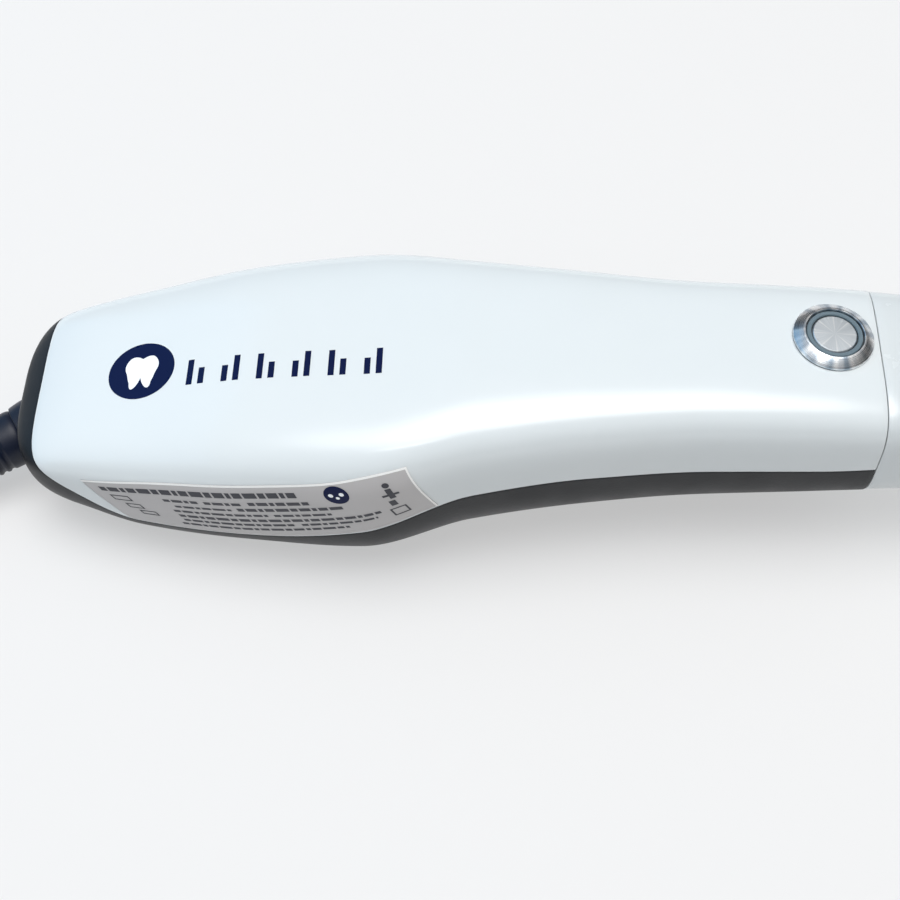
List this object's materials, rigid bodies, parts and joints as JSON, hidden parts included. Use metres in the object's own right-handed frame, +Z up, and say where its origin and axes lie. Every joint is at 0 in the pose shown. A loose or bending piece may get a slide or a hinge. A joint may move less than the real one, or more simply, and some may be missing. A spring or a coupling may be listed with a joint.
{
  "type": "intraoral camera",
  "caption": "Dental scanner handpiece with white and charcoal covers, a lit ring push button, a lift-off mirror tip with a scan window, a rubber cable boot and a USB lead.",
  "frame": {"origin": "middle of the handpiece's footprint, on the surface that its belly rests on; the lead's free length isn't counted", "axes": "+X from the cable end to the tip, +Z up through the button"},
  "size_m": [0.4378, 0.0537, 0.0384],
  "materials": {
    "white_cover": "gloss white moulded shell",
    "dark_cover": "fine satin charcoal shell",
    "label_film": null,
    "screw_steel": "zinc plated",
    "button_steel": "turned stainless steel",
    "light_ring": "translucent light guide",
    "plunger_steel": "radially turned stainless steel",
    "spring_steel": "spring wire",
    "black_nylon": "black nylon",
    "seal_rubber": "black nitrile",
    "nut_brass": "nickel plated brass",
    "wire_cover": "thin insulated wire",
    "snout_black": "black glass-filled nylon",
    "window_glass": "coated flat glass",
    "bench_aluminium": "milled aluminium",
    "barrel_black": "black anodised",
    "lens_glass": "coated lens",
    "board_green": "solder-masked laminate",
    "sensor_glass": "sensor package under glass",
    "flex_amber": "polyimide ribbon",
    "board_white": "white-masked metal core board",
    "led_phosphor": "phosphor dome",
    "sink_aluminium": "extruded aluminium",
    "chip_black": "moulded chip packages",
    "header_cream": "natural nylon",
    "cord_cover": "smooth navy-black jacket",
    "clamp_grey": "grey nylon",
    "boot_rubber": "navy-black moulded rubber",
    "tip_white": "autoclavable white plastic",
    "tip_mirror_glass": "front-surface mirror",
    "tie_strap": "black hook-and-loop strap",
    "plug_overmould": "moulded plug grip",
    "plug_steel": "nickel plated steel"
  },
  "bodies": {
    "handpiece": {"upper_cover": "white_cover", "lower_cover": "dark_cover", "rating_label": "label_film", "cover_screws": "screw_steel", "button_housing": "button_steel", "button_led_ring": "light_ring", "button_spring": "spring_steel", "button_base": "black_nylon", "button_seal": "seal_rubber", "button_washer": "screw_steel", "button_nut": "nut_brass", "button_wires": "wire_cover", "nose_frame": "snout_black", "front_window": "window_glass", "window_gasket": "seal_rubber", "tip_detents": "spring_steel", "optical_bench": "bench_aluminium", "camera_lens_barrel": "barrel_black", "camera_lens": "lens_glass", "camera_board": "board_green", "image_sensor": "sensor_glass", "camera_flex": "flex_amber", "projector_housing": "barrel_black", "projector_lens": "lens_glass", "led_board": "board_white", "projector_led": "led_phosphor", "heat_sink": "sink_aluminium", "main_board": "board_green", "board_chips": "chip_black", "board_screws": "screw_steel", "bench_screws": "screw_steel", "cable_header": "header_cream", "flex_header": "header_cream", "inner_cable": "cord_cover", "cable_clamp": "clamp_grey", "clamp_screws": "screw_steel", "cable_boot": "boot_rubber", "cord_run": "cord_cover", "cord_hank": "cord_cover", "cord_tie": "tie_strap", "cord_end": "cord_cover", "usb_plug_body": "plug_overmould", "usb_plug_shell": "plug_steel"},
    "button": {"button_plunger": "plunger_steel"},
    "scan_tip": {"tip_shell": "tip_white", "tip_mirror": "tip_mirror_glass", "mirror_cradle": "clamp_grey"}
  },
  "joints": [
    {"name": "button_press", "type": "slide", "parent": "handpiece", "child": "button", "axis": [-0.0523, 0, -0.9986], "range_m": [0, 0.0012], "stiffness_N_per_m": 1500, "springref_m": -0.0004, "deforming": ["button_spring"]},
    {"name": "tip_pull", "type": "slide", "parent": "handpiece", "child": "scan_tip", "axis": [1, 0, 0], "range_m": [0, 0.06]}
  ]
}
